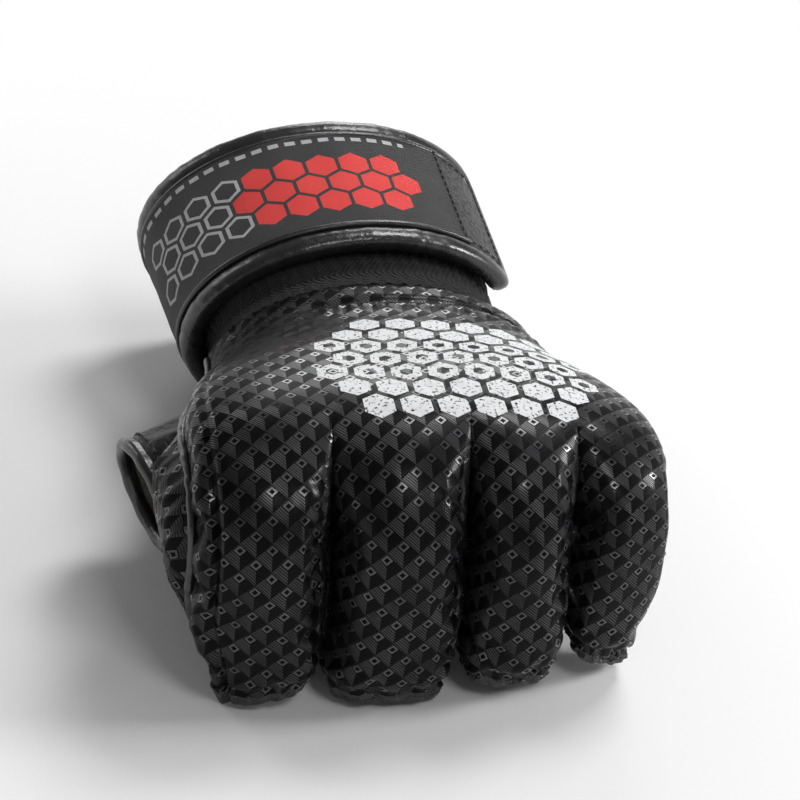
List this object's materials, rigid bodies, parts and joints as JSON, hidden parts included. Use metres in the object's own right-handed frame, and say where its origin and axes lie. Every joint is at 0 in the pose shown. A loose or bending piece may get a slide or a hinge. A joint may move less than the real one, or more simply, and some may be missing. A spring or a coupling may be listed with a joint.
{
  "type": "mma glove",
  "caption": "Open-palm grappling glove for a left hand, curled to a fist, with split padded knuckles, finger loops, a thumb loop and a wrap-round wrist strap.",
  "frame": {"origin": "on the table plane, under the middle of the glove's bounding box", "axes": "+X to the little-finger side, +Y from the knuckles to the wrist, +Z from the palm to the back of the hand"},
  "size_m": [0.1201, 0.1668, 0.066],
  "materials": {
    "pad_leather": "embossed satin coated leather",
    "foam": "closed-cell foam",
    "lining": "plain woven lining",
    "side_leather": "crinkled embossed leather",
    "palm_leather": "soft matte leather",
    "thumb_leather": "smooth leather",
    "binding": "rolled leather",
    "cuff_knit": "stretch knit",
    "loop_pile": "brushed pile",
    "hook_tape": "hook tape",
    "woven_label": "woven twill label in black, red and white",
    "finger_leather": "crinkled embossed leather",
    "hem_leather": "gathered leather",
    "strap_edge": "smooth rolled leather",
    "strap_leather": "padded leather"
  },
  "bodies": {
    "hand": {"back_cover": "pad_leather", "back_foam": "foam", "back_lining": "lining", "knuckle_lining": "lining", "radial_panel": "side_leather", "ulnar_panel": "side_leather", "palm_panel": "palm_leather", "palm_binding": "binding", "radial_gusset": "side_leather", "ulnar_gusset": "side_leather", "thumb_loop": "thumb_leather", "thumb_binding": "binding", "wrist_neck": "cuff_knit", "cuff": "cuff_knit", "loop_patch": "loop_pile", "index_knuckle_cover": "pad_leather", "index_knuckle_foam": "foam", "middle_knuckle_cover": "pad_leather", "middle_knuckle_foam": "foam", "ring_knuckle_cover": "pad_leather", "ring_knuckle_foam": "foam", "little_knuckle_cover": "pad_leather", "little_knuckle_foam": "foam", "anchor_band": "strap_leather", "anchor_front_edge": "strap_edge", "anchor_rear_edge": "strap_edge"},
    "index_finger": {"index_cover": "pad_leather", "index_foam": "foam", "index_loop": "finger_leather", "index_hem": "hem_leather"},
    "middle_finger": {"middle_cover": "pad_leather", "middle_foam": "foam", "middle_loop": "finger_leather", "middle_hem": "hem_leather"},
    "ring_finger": {"ring_cover": "pad_leather", "ring_foam": "foam", "ring_loop": "finger_leather", "ring_hem": "hem_leather"},
    "little_finger": {"little_cover": "pad_leather", "little_foam": "foam", "little_loop": "finger_leather", "little_hem": "hem_leather"},
    "strap_side": {"side_band": "strap_leather", "side_front_edge": "strap_edge", "side_rear_edge": "strap_edge", "side_label": "woven_label"},
    "strap_back": {"back_band": "strap_leather", "back_front_edge": "strap_edge", "back_rear_edge": "strap_edge", "back_label": "woven_label"},
    "strap_tab": {"tab_band": "strap_leather", "tab_edge": "strap_edge", "tab_hook": "hook_tape"}
  },
  "joints": [
    {"name": "index_flex", "type": "hinge", "parent": "hand", "child": "index_finger", "pos_m": [-0.03529, -0.05048, 0.0335], "axis": [-1, 0, 0], "range_deg": [-8, 50], "stiffness_Nm_per_rad": 0.15, "deforming": ["index_knuckle_cover", "index_knuckle_foam", "radial_gusset"]},
    {"name": "middle_flex", "type": "hinge", "parent": "hand", "child": "middle_finger", "pos_m": [-0.00367, -0.05048, 0.0335], "axis": [-1, 0, 0], "range_deg": [-8, 50], "stiffness_Nm_per_rad": 0.15, "deforming": ["middle_knuckle_cover", "middle_knuckle_foam", "knuckle_lining"]},
    {"name": "ring_flex", "type": "hinge", "parent": "hand", "child": "ring_finger", "pos_m": [0.02483, -0.05048, 0.0335], "axis": [-1, 0, 0], "range_deg": [-8, 50], "stiffness_Nm_per_rad": 0.15, "deforming": ["ring_knuckle_cover", "ring_knuckle_foam"]},
    {"name": "little_flex", "type": "hinge", "parent": "hand", "child": "little_finger", "pos_m": [0.04946, -0.05048, 0.0335], "axis": [-1, 0, 0], "range_deg": [-8, 50], "stiffness_Nm_per_rad": 0.15, "deforming": ["little_knuckle_cover", "little_knuckle_foam", "ulnar_gusset"]},
    {"name": "strap_side_fold", "type": "hinge", "parent": "hand", "child": "strap_side", "pos_m": [-0.01363, 0.05628, 0.00437], "axis": [0.0987, -0.9908, -0.0924], "range_deg": [0, 60]},
    {"name": "strap_back_fold", "type": "hinge", "parent": "strap_side", "child": "strap_back", "pos_m": [-0.03504, 0.04961, 0.0477], "axis": [0.1186, -0.9855, -0.1216], "range_deg": [0, 95]},
    {"name": "strap_tab_fold", "type": "hinge", "parent": "strap_back", "child": "strap_tab", "pos_m": [0.03375, 0.05459, 0.05472], "axis": [0.055, -0.9905, -0.1264], "range_deg": [0, 70]}
  ]
}
